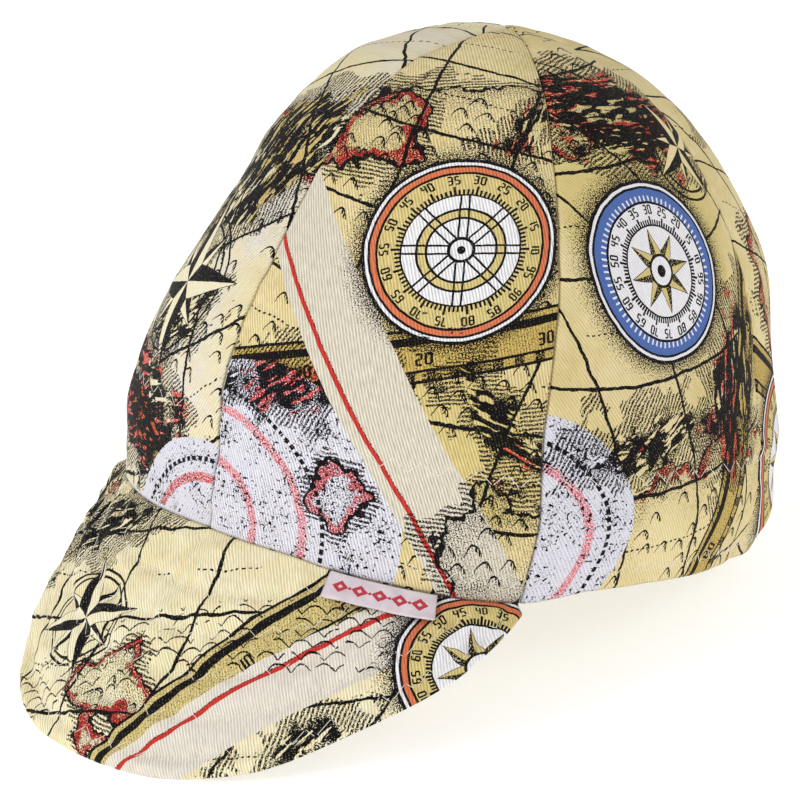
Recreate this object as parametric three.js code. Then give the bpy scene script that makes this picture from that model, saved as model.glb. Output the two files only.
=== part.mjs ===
// A soft brim cap of printed cotton: six crown gores, a quilted brim, a sweatband and a folded tag.
// Millimetres, +Z up. The brim points to -Y and the wearer's left is +X. The cap stands on z = 0, on the
// back of its rim and the middle of its brim. The shapes are worked out in the cap's own frame, whose
// z = 0 is the plane of the rim, and then tipped back and set down.
import * as THREE from "three";

// Crown, from its rim plane up
const CROWN_HEIGHT = 147.5;
const GORES = 6;
const CLOTH = 1.2;
const SEAM_GAP = 0.3;
const TOP_HOLE_RADIUS = 2;
const FRONT_ROUNDNESS = 1.09;
const BACK_ROUNDNESS = 0.92;
// Reach of the crown at each height, forwards, backwards and to each side of its middle line, and how
// far that middle line has moved back
const CROWN_SECTIONS = [
  { height: 0, front: 83.2, back: 111.2, side: 87.1, shift: 0 },
  { height: 22, front: 86.2, back: 113.7, side: 89.8, shift: 1.9 },
  { height: 47, front: 89.3, back: 111.4, side: 85.2, shift: 4.0 },
  { height: 74, front: 82.9, back: 108.5, side: 76.5, shift: 6.2 },
  { height: 99, front: 72.6, back: 93.5, side: 66.3, shift: 8.3 },
  { height: 121, front: 59.7, back: 70.0, side: 54.6, shift: 10.1 },
  { height: 137, front: 41.5, back: 43.1, side: 39.3, shift: 11.5 },
  { height: CROWN_HEIGHT, front: 0, back: 0, side: 0, shift: 12.3 },
];
// The rim's height over the plane of its back, by share of a turn from the front centre: it is cut higher
// behind each ear, and dips where the brim ends on the wearer's left
const RIM_FADE = 90;
const RIM_CURVE = [
  { share: -0.5, lift: 0 },
  { share: -0.46, lift: 0.2 },
  { share: -0.39, lift: 2.3 },
  { share: -0.32, lift: 4.6 },
  { share: -0.25, lift: 5 },
  { share: -0.21, lift: 5.6 },
  { share: -0.167, lift: 5.5 },
  { share: -0.13, lift: 4.6 },
  { share: -0.1, lift: 4 },
  { share: -0.05, lift: 3.2 },
  { share: 0, lift: 2.8 },
  { share: 0.05, lift: 2 },
  { share: 0.0725, lift: 0.5 },
  { share: 0.1245, lift: -1.5 },
  { share: 0.15, lift: -2.2 },
  { share: 0.17, lift: -2 },
  { share: 0.187, lift: 0.3 },
  { share: 0.203, lift: 2.5 },
  { share: 0.23, lift: 3.8 },
  { share: 0.25, lift: 4.2 },
  { share: 0.32, lift: 4.6 },
  { share: 0.39, lift: 2.3 },
  { share: 0.46, lift: 0.2 },
  { share: 0.5, lift: 0 },
];
// The seams pull the cloth in, more sharply than it puffs out between them. Both fade near the top, where
// half of the crown's girth is under FOLD_FADE.
const SEAM_PULL = 0.9;
const SEAM_SHARPNESS = 8;
const GORE_PUFF = 0.5;
const FOLD_FADE = 60;
// Soft dents (negative) and bulges of the cloth: place round the crown as a share of a turn from the
// front centre towards the wearer's left, height of the middle, reach round and up, and depth
const CROWN_DENTS = [
  { share: -0.112, height: 84, round: 38, tall: 28, depth: -2.4 },
  { share: -0.115, height: 20, round: 24, tall: 12, depth: 1.8 },
  { share: -0.095, height: 0, round: 38, tall: 11, depth: 0.5 },
  { share: -0.1, height: 15, round: 28, tall: 7, depth: -1 },
  { share: 0.39, height: 66, round: 34, tall: 16, depth: -2.1 },
  { share: 0.37, height: 24, round: 30, tall: 16, depth: 2 },
  { share: 0.395, height: 110, round: 26, tall: 18, depth: -0.8 },
  { share: 0.62, height: 60, round: 32, tall: 18, depth: -1.6 },
  { share: 0.085, height: 52, round: 22, tall: 20, depth: -0.8 },
];

// Brim, from the front centre at 0 to its ends at -1 (wearer's right) and 1 (wearer's left): length from
// seam to edge, mean slope under the rim plane and how much the slope grows from seam to edge, in degrees
const BRIM_SHARE = 1 / 6;
const BRIM_THICKNESS = 2;
const BRIM_EDGE_THICKNESS = 1.3;
const BRIM_FAN = 58;
const BRIM_SECTIONS = [
  { across: -1, length: 3.5, slope: 48, curl: 30 },
  { across: -0.92, length: 15.5, slope: 56.5, curl: 32 },
  { across: -0.8, length: 24, slope: 67, curl: 28 },
  { across: -0.6, length: 46, slope: 63.5, curl: 24 },
  { across: -0.4, length: 62.6, slope: 62, curl: 18 },
  { across: -0.2, length: 71.4, slope: 60.5, curl: 14 },
  { across: 0, length: 73.4, slope: 59, curl: 12 },
  { across: 0.2, length: 72.1, slope: 58.5, curl: 10 },
  { across: 0.4, length: 62.5, slope: 58, curl: 10 },
  { across: 0.6, length: 44.5, slope: 56.5, curl: 10 },
  { across: 0.8, length: 27, slope: 49, curl: 10 },
  { across: 0.92, length: 13.5, slope: 40, curl: 8 },
  { across: 1, length: 3, slope: 38, curl: 8 },
];

// Sweatband, inside the rim
const BAND_BOTTOM = 2;
const BAND_TOP = 41;
const BAND_THICKNESS = 1.2;
const BAND_GAP = 0.8;

// Folded tag, sewn into the brim seam on the wearer's left
const TAG_FROM = 0.0725;
const TAG_TO = 0.1245;
const TAG_LENGTH = 8.9;
const TAG_THICKNESS = 1;
const TAG_LIFT = 12;
const TAG_GAP = 0.4;
// How far out on the brim the way that the tag hangs is taken
const TAG_AIM = 0.1;

// How the cap stands: tipped back, set down, and its box centred over the origin
const REST_PITCH = 14.84;
const REST_LIFT = 27.36;
const REST_SHIFT = 1.88;

const GORE_GRID = { columns: 10, rows: 18 };
const BRIM_GRID = { columns: 34, rows: 8 };
const BAND_GRID = { columns: 60, rows: 5 };
const TAG_GRID = { columns: 6, rows: 2 };
const RING_STEPS = 96;
// Height of a gore's first row of faces as a share of an even one's
const FIRST_ROW_SHARE = 0.5;
// Steps to each side at which directions on the crown and on the brim are measured, and the highest climb
const CROWN_STEP = 0.004;
const BRIM_STEP = 0.01;
const HIGHEST_CLIMB = 0.995;

const FINISHES = {
  print: { color: 0xd9c789, roughness: 0.9, metalness: 0 },
  brim: { color: 0xdccb90, roughness: 0.9, metalness: 0 },
  band: { color: 0xe9e2cd, roughness: 0.95, metalness: 0 },
  tag: { color: 0xf3f1ee, roughness: 0.45, metalness: 0 },
};

const radians = THREE.MathUtils.degToRad;
const clamp = THREE.MathUtils.clamp;

// The value of one column of a table between its rows, on a smooth curve through them
function between(rows, key, column, at) {
  const last = rows.length - 1;
  let i = 0;
  while (i < last - 1 && rows[i + 1][key] < at) i += 1;
  const slopeAt = (j) => {
    const before = rows[Math.max(j - 1, 0)];
    const after = rows[Math.min(j + 1, last)];
    return (after[column] - before[column]) / (after[key] - before[key]);
  };
  const from = rows[i];
  const to = rows[i + 1];
  const span = to[key] - from[key];
  const t = clamp((at - from[key]) / span, 0, 1);
  const t2 = t * t;
  const t3 = t2 * t;
  return (2 * t3 - 3 * t2 + 1) * from[column] + (t3 - 2 * t2 + t) * span * slopeAt(i)
    + (3 * t2 - 2 * t3) * to[column] + (t3 - t2) * span * slopeAt(i + 1);
}

// Climb runs from 0 at the rim to 1 at the top, and is even along a dome where height isn't
const climbAt = (height) => 1 - Math.sqrt(1 - height / CROWN_HEIGHT);
const heightAt = (climb) => CROWN_HEIGHT * (1 - (1 - climb) ** 2);
const SECTIONS = CROWN_SECTIONS.map((row) => ({ ...row, climb: climbAt(row.height) }));

const power = (value, exponent) => Math.sign(value) * Math.abs(value) ** exponent;

// Half of the crown's outline at one climb, from the front centre round to the back centre, with the
// length walked at each step
const rings = new Map();
function ringAt(climb) {
  const key = climb.toFixed(6);
  if (rings.has(key)) return rings.get(key);
  const [front, back, side, shift] = ["front", "back", "side", "shift"].map(
    (column) => between(SECTIONS, "climb", column, climb),
  );
  const ring = { points: [], walked: [] };
  for (let i = 0; i <= RING_STEPS; i += 1) {
    const turn = (Math.PI * i) / RING_STEPS;
    const forward = Math.cos(turn);
    const reach = forward > 0
      ? front * power(forward, FRONT_ROUNDNESS)
      : back * power(forward, BACK_ROUNDNESS);
    const point = new THREE.Vector2(side * Math.sin(turn), shift - reach);
    const before = ring.points[i - 1];
    ring.walked.push(before ? ring.walked[i - 1] + point.distanceTo(before) : 0);
    ring.points.push(point);
  }
  ring.half = ring.walked[RING_STEPS];
  rings.set(key, ring);
  return ring;
}

// A point on the crown without its dents, at a share of a turn from the front centre
function plainPoint(share, climb) {
  const ring = ringAt(climb);
  const turn = share - Math.floor(share);
  const mirrored = turn > 0.5;
  const walk = (mirrored ? 1 - turn : turn) * 2 * ring.half;
  let i = 0;
  while (i < RING_STEPS - 1 && ring.walked[i + 1] < walk) i += 1;
  const step = ring.walked[i + 1] - ring.walked[i];
  const t = step > 0 ? clamp((walk - ring.walked[i]) / step, 0, 1) : 0;
  const flat = ring.points[i].clone().lerp(ring.points[i + 1], t);
  const height = heightAt(climb);
  const lift = between(RIM_CURVE, "share", "lift", mirrored ? turn - 1 : turn);
  const z = height + lift * Math.max(0, 1 - height / RIM_FADE) ** 2;
  return new THREE.Vector3(mirrored ? -flat.x : flat.x, flat.y, z);
}

// The outward direction of the crown there
function plainNormal(share, climb) {
  const low = Math.max(climb - CROWN_STEP, 0);
  const high = Math.min(climb + CROWN_STEP, HIGHEST_CLIMB);
  const round = plainPoint(share + CROWN_STEP, climb).sub(plainPoint(share - CROWN_STEP, climb));
  const up = plainPoint(share, high).sub(plainPoint(share, low));
  return round.cross(up).normalize();
}

// How far the cloth stands out of the plain crown: in at the seams, out between them, and the dents
function relief(share, climb) {
  const ring = ringAt(climb);
  const height = heightAt(climb);
  const gore = share * GORES;
  const inGore = gore - Math.floor(gore);
  const fade = Math.min(1, ring.half / FOLD_FADE);
  const puff = GORE_PUFF * Math.sin(Math.PI * inGore);
  const pull = SEAM_PULL * Math.abs(Math.cos(Math.PI * inGore)) ** SEAM_SHARPNESS;
  let out = fade * (puff - pull);
  for (const dent of CROWN_DENTS) {
    const apart = share - dent.share;
    const round = ((apart - Math.round(apart)) * 2 * ring.half) / dent.round;
    const tall = (height - dent.height) / dent.tall;
    out += dent.depth * Math.exp(-(round * round + tall * tall));
  }
  return out;
}

function crownPoint(share, climb, depth) {
  const out = relief(share, climb) - depth;
  return plainPoint(share, climb).addScaledVector(plainNormal(share, climb), out);
}

// Tips a point of the cap's frame back, sets it down, and presses flat what would be under the ground
function stand(point) {
  const pitch = radians(REST_PITCH);
  const y = point.y * Math.cos(pitch) + point.z * Math.sin(pitch) + REST_SHIFT;
  const z = -point.y * Math.sin(pitch) + point.z * Math.cos(pitch) + REST_LIFT;
  return new THREE.Vector3(point.x, y, Math.max(z, 0));
}

// A closed wall from pointAt(a, b, side), with a and b from 0 to 1 and side 0 on the face that looks out.
// Seen from outside, a runs to the right and b up. A ring's last column meets its first.
function wall(pointAt, grid, ring = false) {
  const { columns, rows } = grid;
  const wide = ring ? columns : columns + 1;
  const positions = [];
  for (const side of [0, 1]) {
    for (let j = 0; j <= rows; j += 1) {
      for (let i = 0; i < wide; i += 1) {
        positions.push(...stand(pointAt(i / columns, j / rows, side)).toArray());
      }
    }
  }
  const at = (i, j, side) => side * wide * (rows + 1) + j * wide + (i % wide);
  const index = [];
  const quad = (a, b, c, d) => index.push(a, b, c, a, c, d);
  for (let j = 0; j < rows; j += 1) {
    for (let i = 0; i < columns; i += 1) {
      quad(at(i, j, 0), at(i + 1, j, 0), at(i + 1, j + 1, 0), at(i, j + 1, 0));
      quad(at(i, j, 1), at(i, j + 1, 1), at(i + 1, j + 1, 1), at(i + 1, j, 1));
    }
  }
  for (let i = 0; i < columns; i += 1) {
    quad(at(i, 0, 1), at(i + 1, 0, 1), at(i + 1, 0, 0), at(i, 0, 0));
    quad(at(i, rows, 0), at(i + 1, rows, 0), at(i + 1, rows, 1), at(i, rows, 1));
  }
  for (let j = 0; j < rows && !ring; j += 1) {
    quad(at(0, j, 0), at(0, j + 1, 0), at(0, j + 1, 1), at(0, j, 1));
    quad(at(columns, j, 1), at(columns, j + 1, 1), at(columns, j + 1, 0), at(columns, j, 0));
  }
  const geometry = new THREE.BufferGeometry();
  geometry.setAttribute("position", new THREE.Float32BufferAttribute(positions, 3));
  geometry.setIndex(index);
  geometry.computeVertexNormals();
  return geometry;
}

function piece(name, geometry, finish) {
  const mesh = new THREE.Mesh(geometry, new THREE.MeshStandardMaterial(finish));
  mesh.name = name;
  return mesh;
}

// Crown gore number k, between the seams at k and k + 1 sixths of a turn
const topClimb = 1 - TOP_HOLE_RADIUS / (SECTIONS.at(-2).side / (1 - SECTIONS.at(-2).climb));
function gore(k) {
  return wall((a, b, side) => {
    const climb = topClimb * b * (FIRST_ROW_SHARE + (1 - FIRST_ROW_SHARE) * b);
    const gap = SEAM_GAP / 2 / (2 * ringAt(climb).half);
    const share = (k / GORES + gap) + a * (1 / GORES - 2 * gap);
    return crownPoint(share, climb, side * CLOTH);
  }, GORE_GRID);
}

// The brim's upper face at across (-1 to 1) and out (0 at the seam to 1 at the edge). It follows the
// crown's dents at the seam and loses them on its way out.
function brimPoint(across, out) {
  const length = between(BRIM_SECTIONS, "across", "length", across);
  const slope = radians(between(BRIM_SECTIONS, "across", "slope", across));
  const curl = radians(between(BRIM_SECTIONS, "across", "curl", across));
  const turn = radians(BRIM_FAN) * across;
  const start = slope - curl / 2;
  const end = start + curl * out;
  const reach = (length / curl) * (Math.sin(end) - Math.sin(start));
  const drop = (length / curl) * (Math.cos(start) - Math.cos(end));
  const share = across * BRIM_SHARE;
  const seam = plainPoint(share, 0).lerp(crownPoint(share, 0, 0), (1 - out) ** 2);
  return seam.add(new THREE.Vector3(reach * Math.sin(turn), -reach * Math.cos(turn), -drop - SEAM_GAP));
}

function brimNormal(across, out) {
  const left = Math.min(across + BRIM_STEP, 1);
  const right = Math.max(across - BRIM_STEP, -1);
  const high = Math.max(out - BRIM_STEP, 0);
  const low = Math.min(out + BRIM_STEP, 1);
  const round = brimPoint(left, out).sub(brimPoint(right, out));
  const up = brimPoint(across, high).sub(brimPoint(across, low));
  return round.cross(up).normalize();
}

function brim() {
  return wall((a, b, side) => {
    const across = 2 * a - 1;
    const out = 1 - b;
    const thickness = THREE.MathUtils.lerp(BRIM_THICKNESS, BRIM_EDGE_THICKNESS, out);
    return brimPoint(across, out).addScaledVector(brimNormal(across, out), -side * thickness);
  }, BRIM_GRID);
}

function sweatband() {
  const depth = CLOTH + BAND_GAP;
  return wall((a, b, side) => {
    const climb = climbAt(THREE.MathUtils.lerp(BAND_BOTTOM, BAND_TOP, b));
    return crownPoint(a, climb, depth + side * BAND_THICKNESS);
  }, BAND_GRID, true);
}

// The tag hangs out of the brim seam and stands a little off the brim
function tag() {
  const lift = radians(TAG_LIFT);
  return wall((a, b, side) => {
    const across = THREE.MathUtils.lerp(TAG_FROM, TAG_TO, a) / BRIM_SHARE;
    const start = brimPoint(across, 0);
    const normal = brimNormal(across, 0);
    const along = brimPoint(across, TAG_AIM).sub(start).normalize();
    const down = along.clone().multiplyScalar(Math.cos(lift)).addScaledVector(normal, Math.sin(lift));
    const face = normal.clone().multiplyScalar(Math.cos(lift)).addScaledVector(along, -Math.sin(lift));
    const off = TAG_GAP + (1 - side) * TAG_THICKNESS;
    return start.addScaledVector(normal, TAG_GAP).addScaledVector(along, TAG_GAP)
      .addScaledVector(down, (1 - b) * TAG_LENGTH).addScaledVector(face, off - TAG_GAP);
  }, TAG_GRID);
}

const GORE_NAMES = [
  "panel_front_left",
  "panel_side_left",
  "panel_back_left",
  "panel_back_right",
  "panel_side_right",
  "panel_front_right",
];

const cap = new THREE.Group();
cap.name = "soft_brim_cap";
GORE_NAMES.forEach((name, k) => cap.add(piece(name, gore(k), FINISHES.print)));
cap.add(piece("brim", brim(), FINISHES.brim));
cap.add(piece("sweatband", sweatband(), FINISHES.band));
cap.add(piece("tag", tag(), FINISHES.tag));

export default cap;
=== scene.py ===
import math
from functools import lru_cache, partialmethod, reduce
from operator import or_

import bpy
import numpy as np
from mathutils import Matrix, Vector


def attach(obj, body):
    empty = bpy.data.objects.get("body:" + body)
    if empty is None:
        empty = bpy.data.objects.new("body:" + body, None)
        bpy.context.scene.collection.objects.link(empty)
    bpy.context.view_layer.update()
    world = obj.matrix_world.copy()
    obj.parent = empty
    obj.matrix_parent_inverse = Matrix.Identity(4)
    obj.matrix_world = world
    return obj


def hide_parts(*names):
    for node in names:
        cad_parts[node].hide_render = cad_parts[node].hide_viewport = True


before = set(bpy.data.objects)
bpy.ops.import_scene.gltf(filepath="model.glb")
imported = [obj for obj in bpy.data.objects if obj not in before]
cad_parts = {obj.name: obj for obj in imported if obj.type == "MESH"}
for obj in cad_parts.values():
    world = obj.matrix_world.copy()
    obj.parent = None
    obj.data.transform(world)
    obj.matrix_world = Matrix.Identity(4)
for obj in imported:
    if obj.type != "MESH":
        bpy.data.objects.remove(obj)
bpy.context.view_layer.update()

bl_info = {
    "name": "Soft Brim Cap",
    "version": (1, 0, 0),
    "blender": (4, 5, 0),
    "location": "3D View > Sidebar > Cap",
    "description": "Dresses the frame of a soft brim cap in printed cloth, quilting and stitches",
    "category": "Add Mesh",
}

MM = 0.001
BODY = "root"


# Sizes, in millimetres
def table(columns, *rows):
    """Rows of numbers under named columns, as one array for each column."""
    return dict(zip(columns.split(), np.array(rows, float).T))


CROWN_HEIGHT = 147.5
GORES = 6
FRONT_ROUNDNESS = 1.09
BACK_ROUNDNESS = 0.92
# Reach of the crown at each height, forwards, backwards and to each side of its middle line, and how far
# that line has moved back
CROWN_SECTIONS = table(
    "height front back side shift",
    (0, 83.2, 111.2, 87.1, 0),
    (22, 86.2, 113.7, 89.8, 1.9),
    (47, 89.3, 111.4, 85.2, 4.0),
    (74, 82.9, 108.5, 76.5, 6.2),
    (99, 72.6, 93.5, 66.3, 8.3),
    (121, 59.7, 70.0, 54.6, 10.1),
    (137, 41.5, 43.1, 39.3, 11.5),
    (CROWN_HEIGHT, 0, 0, 0, 12.3),
)
# Height of the rim over the plane of its back, by share of a turn from the front centre, where a positive
# share is on the wearer's left. The crown above follows it less and less.
RIM_FADE = 90
RIM_CURVE = table(
    "share lift",
    (-0.5, 0), (-0.46, 0.2), (-0.39, 2.3), (-0.32, 4.6), (-0.25, 5), (-0.21, 5.6), (-0.167, 5.5),
    (-0.13, 4.6), (-0.1, 4), (-0.05, 3.2), (0, 2.8), (0.05, 2), (0.0725, 0.5), (0.1245, -1.5),
    (0.15, -2.2), (0.17, -2), (0.187, 0.3), (0.203, 2.5), (0.23, 3.8), (0.25, 4.2), (0.32, 4.6),
    (0.39, 2.3), (0.46, 0.2), (0.5, 0),
)
SEAM_PULL = 0.9
SEAM_SHARPNESS = 8
GORE_PUFF = 0.5
# Half of the crown's girth under which pulls and folds fade, near the top
FOLD_FADE = 60
# Soft dents (negative) and bulges: their middle, their reach round and up, and their depth
CROWN_DENTS = table(
    "share height round tall depth",
    (-0.112, 84, 38, 28, -2.4),
    (-0.115, 20, 24, 12, 1.8),
    (-0.095, 0, 38, 11, 0.5),
    (-0.1, 15, 28, 7, -1),
    (0.39, 66, 34, 16, -2.1),
    (0.37, 24, 30, 16, 2),
    (0.395, 110, 26, 18, -0.8),
    (0.62, 60, 32, 18, -1.6),
    (0.085, 52, 22, 20, -0.8),
)
BRIM_SHARE = 1 / 6
BRIM_THICKNESS = 2
BRIM_EDGE_THICKNESS = 1.3
BRIM_FAN = 58
# The brim from its end on the wearer's right (-1) to the one on the left (1): its length from the seam to
# the edge, its mean slope, and how much the slope grows on the way, in degrees
BRIM_SECTIONS = table(
    "across length slope curl",
    (-1, 3.5, 48, 30),
    (-0.92, 15.5, 56.5, 32),
    (-0.8, 24, 67, 28),
    (-0.6, 46, 63.5, 24),
    (-0.4, 62.6, 62, 18),
    (-0.2, 71.4, 60.5, 14),
    (0, 73.4, 59, 12),
    (0.2, 72.1, 58.5, 10),
    (0.4, 62.5, 58, 10),
    (0.6, 44.5, 56.5, 10),
    (0.8, 27, 49, 10),
    (0.92, 13.5, 40, 8),
    (1, 3, 38, 8),
)
BAND_BOTTOM = 2
BAND_TOP = 41
BAND_GAP = 0.8
TAG_FROM = 0.0725
TAG_TO = 0.1245
TAG_LENGTH = 8.9
TAG_LIFT = 12
TAG_GAP = 0.4
# How far out on the brim the way that the tag hangs is taken
TAG_AIM = 0.1
# How the cap stands: tipped back, set down, and its box centred over the origin
REST_PITCH = 14.84
REST_LIFT = 27.36
REST_SHIFT = 1.88

# Fine shape of the cloth, which the frame leaves out
TOP_RADIUS = 0.5
GORE_CELLS = (84, 160)
BRIM_CELLS = (240, 80)
BAND_CELLS = (240, 26)
TAG_CELLS = (60, 44)
RING_STEPS = 384
LINE_STEPS = 400
# Steps to each side at which directions on the crown and on the brim are measured, and the highest climb
CROWN_STEP = 0.004
BRIM_STEP = 0.01
HIGHEST_CLIMB = 0.995
# Odd numbers that scatter a column, a row and a seed, and then their mixture
HASH_FACTORS = (374761393, 668265263, 1442695041, 1274126177)
# Radius that rounds a cloth's edge, as a share of its thickness
EDGE_ROUNDNESS = 0.45
MERGE_DISTANCE = 1e-6
# How much closer the columns of a gore lie at its seams than in its middle
EDGE_CROWDING = 0.45
CLOTH_GAP = 0.08
SEAM_VALLEY = 0.25
SEAM_VALLEY_REACH = 1.5
PUCKER = 0.6
PUCKER_REACH = 7
CREASE = 0.36
# Slack folds near the rim, by the seam between the side and the back on the wearer's left
RIM_FOLDS = table(
    "share height round tall depth",
    (0.377, 26, 22, 8, -2.1),
    (0.374, 12, 22, 6, 0.9),
)
CROWN_ROWS = (34, 6)
ROW_SINK = 0.25
ROW_SINK_REACH = 1.7
ROW_PUCKER = 0.35
ROW_PUCKER_REACH = 5
BRIM_ROWS = (6.5, 18.5, 31, 43.5, 56)
QUILT_SINK = 0.6
QUILT_SINK_REACH = 2.2
QUILT_PUFF = 0.5
QUILT_PUCKER = 1
QUILT_SWELL_START = 20
# The quilting's relief fades to nothing at the seam and at the edge
QUILT_SEAM_FADE = 5
QUILT_EDGE_FADE = 2.5
DRAG = 1
DRAG_REACH = 26
BRIM_HALF_WIDTH = 100
BRIM_FLAT_FAN = 32
# The brim's seam edge is turned up behind the crown's hem
TUCK_ROWS = 6
TUCK_HEIGHT = 3
TUCK_THICKNESS = 0.6
TAG_CLOTH = 0.24
TAG_FOLD = 0.32
TAG_DENT = 0.75
TAG_DENT_START = 21
PLAIN_GRAIN = 38

# Layers of soft waves in the cloth. A wave is wide along x and tall along y. Its x slips by one wave over
# lean of y, and its y by one wave over slip of x.
STRAIGHT = math.inf
WAVES = {
    kind: table("wide tall lean slip weight seed", *layers)
    for kind, layers in {
        "seam_pucker": [
            (8, 1 / 7.3, STRAIGHT, STRAIGHT, 1, 11),
            (4.6, 1 / 5.1, STRAIGHT, STRAIGHT, 0.6, 12),
        ],
        "crease": [(34, 26, 60, -90, 1, 21), (15, 13, STRAIGHT, 40, 0.45, 22)],
        "row_pucker": [(5.2, 30, STRAIGHT, STRAIGHT, 1, 31)],
        "quilt_pucker": [(5.5, 9, 30, STRAIGHT, 1, 41), (3.2, 7, STRAIGHT, 30, 0.6, 42)],
        "quilt_swell": [(30, 25, STRAIGHT, STRAIGHT, 0.8, 43)],
        "drag": [(5, 30, 40, STRAIGHT, 1, 44)],
        "tag_dent": [(7, 6, STRAIGHT, STRAIGHT, 1, 51)],
    }.items()
}

# A thread is a tube with a few sides, cut across so that it can bend over a leg of the zigzag
THREAD_SIDES = 5
THREAD_CUTS = (0.08, 0.25, 0.5, 0.75, 0.92)
# Height of a leg's middle over the cloth and depth of its ends in it, in radii of the thread
THREAD_LIFT = 0.55
THREAD_DIVE = 3.2
THREAD_DIVE_SHARPNESS = 6
BRIM_ROW_STEPS = 1600

FLOOR_SIZE = 8
FLOOR_WHITE = 0.85
FLOOR_GLOW = 0.52
WORLD_LIGHT = 0.56
LIGHT_AIM = (0, 0, 0.08)
# Place and size of each soft light in metres, and its power in watts
LIGHTS = {
    "key_light": (-0.6, -2.0, 1.25, 1.1, 28),
    "fill_light": (2.0, 0.4, 1.0, 1.6, 15),
}
SENSOR_WIDTH = 36
VIEW_END = 50

GORE_NAMES = (
    "panel_front_left",
    "panel_side_left",
    "panel_back_left",
    "panel_back_right",
    "panel_side_right",
    "panel_front_right",
)


# Properties
def linear(red, green, blue):
    """A colour given from 0 to 255 as a screen shows it, as the light that it reflects."""
    shown = [value / 255 for value in (red, green, blue)]
    return tuple(value / 12.92 if value <= 0.04045 else ((value + 0.055) / 1.055) ** 2.4 for value in shown)


COLOURS = {
    "ink": ("Black of the print", 14, 12, 14),
    "parchment": ("Ground of the print", 205, 187, 132),
    "parchment_pale": ("Pale patches of the ground", 217, 201, 153),
    # The next two grounds are the parchment ground painted paler and greyer on the pieces that face the key
    # light: painted light
    "sunlit": ("Ground of the brim and of the front right gore", 219, 209, 167),
    "painted_light_pale": ("Pale patches of that ground", 227, 218, 186),
    "buff": ("Warm clouds in both grounds", 219, 199, 157),
    "cream": ("Plain strips of the crown", 204, 196, 178),
    "linen": ("Plain strips of the brim", 213, 206, 193),
    "ochre": ("Yellow patches and scales", 201, 183, 122),
    "ochre_dark": ("Margins", 190, 164, 92),
    "chalk": ("White speckled ground", 207, 205, 214),
    "face": ("Faces of the dials", 222, 220, 222),
    "red": ("Coasts and lines", 188, 52, 46),
    "orange": ("Rings of dials", 202, 112, 76),
    "pink": ("Arcs", 212, 112, 118),
    "blue": ("Rings of dials", 78, 104, 164),
    "reverse": ("Wrong side of the printed cloth", 226, 217, 184),
    "reverse_pale": ("Its pale patches", 233, 226, 200),
    "sweatband": ("Cloth of the sweatband", 232, 225, 204),
    "sweatband_pale": ("Its pale patches", 240, 235, 220),
    "ribbon": ("Satin of the tag", 190, 174, 180),
    # The ribbon's bright patches are painted sheen on the satin
    "ribbon_pale": ("Its bright patches", 224, 214, 219),
    "ornament": ("Woven figure on the tag", 176, 22, 46),
    "thread": ("Sewing thread", 228, 224, 212),
    "thread_pale": ("Its pale stretches", 242, 239, 230),
}


class CapColours(bpy.types.PropertyGroup):
    __annotations__ = {
        key: bpy.props.FloatVectorProperty(
            name=key.replace("_", " ").capitalize(), description=description, default=linear(*shown),
            min=0, max=1, size=3, subtype="COLOR")
        for key, (description, *shown) in COLOURS.items()
    }


def length(name, description, default, low=0.001, high=0.02):
    return bpy.props.FloatProperty(
        name=name, description=description, default=default, min=low, max=high,
        subtype="DISTANCE", unit="LENGTH")


def angle(name, description, degrees):
    return bpy.props.FloatProperty(
        name=name, description=description, default=math.radians(degrees),
        subtype="ANGLE", unit="ROTATION")


class CapSizes(bpy.types.PropertyGroup):
    cloth: length("Cloth", "Thickness of the crown's cloth", 1.2 * MM, 0.0004, 0.003)
    band: length("Sweatband", "Thickness of the sweatband", 1.2 * MM, 0.0004, 0.003)
    thread: length("Thread", "Radius of the sewing thread", 0.1 * MM, 0.00005, 0.001)
    crown_stitch: length("Crown stitch", "Round length of one leg of the crown's upper zigzag", 4 * MM)
    rim_stitch: length("Rim stitch", "Round length of one leg of the zigzag at the rim", 3.2 * MM)
    brim_stitch: length("Brim stitch", "Length along the row of one leg of the brim's zigzags", 3.8 * MM)
    stitch_height: length("Stitch height", "Height of a zigzag row", 3.5 * MM)


class CapCamera(bpy.types.PropertyGroup):
    azimuth: angle("Azimuth", "Turn of the camera round the cap from its front", 45.91)
    elevation: angle("Elevation", "Angle of the camera above the floor", 21.38)
    roll: angle("Roll", "Turn of the camera about its own axis", -2.556)
    distance: length("Distance", "From the camera to the middle of the view", 1.5, 0.2, 10)
    lens: bpy.props.FloatProperty(
        name="Lens", description="Focal length on the camera's sensor, in millimetres",
        default=230.1, min=20)
    aim: bpy.props.FloatVectorProperty(
        name="Aim", description="The point in the middle of the view",
        default=(-0.01034, 0.01008, 0.06091), subtype="TRANSLATION", unit="LENGTH")


def sizes():
    return bpy.context.scene.cap_sizes


# Shape of the cap
def between(rows, key, column, at):
    """One column of a table between its rows, on a smooth curve through them."""
    keys, values = rows[key], rows[column]
    at = np.asarray(at, float)
    steps = np.arange(len(keys))
    before, after = np.maximum(steps - 1, 0), np.minimum(steps + 1, len(keys) - 1)
    slopes = (values[after] - values[before]) / (keys[after] - keys[before])
    i = np.searchsorted(keys[1:-1], at)
    span = keys[i + 1] - keys[i]
    t = np.clip((at - keys[i]) / span, 0, 1)
    return (
        (2 * t**3 - 3 * t**2 + 1) * values[i] + (t**3 - 2 * t**2 + t) * span * slopes[i]
        + (3 * t**2 - 2 * t**3) * values[i + 1] + (t**3 - t**2) * span * slopes[i + 1]
    )


def climb_at(height):
    return 1 - np.sqrt(1 - np.asarray(height, float) / CROWN_HEIGHT)


def height_at(climb):
    return CROWN_HEIGHT * (1 - (1 - climb) ** 2)


CROWN_SECTIONS["climb"] = climb_at(CROWN_SECTIONS["height"])


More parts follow.
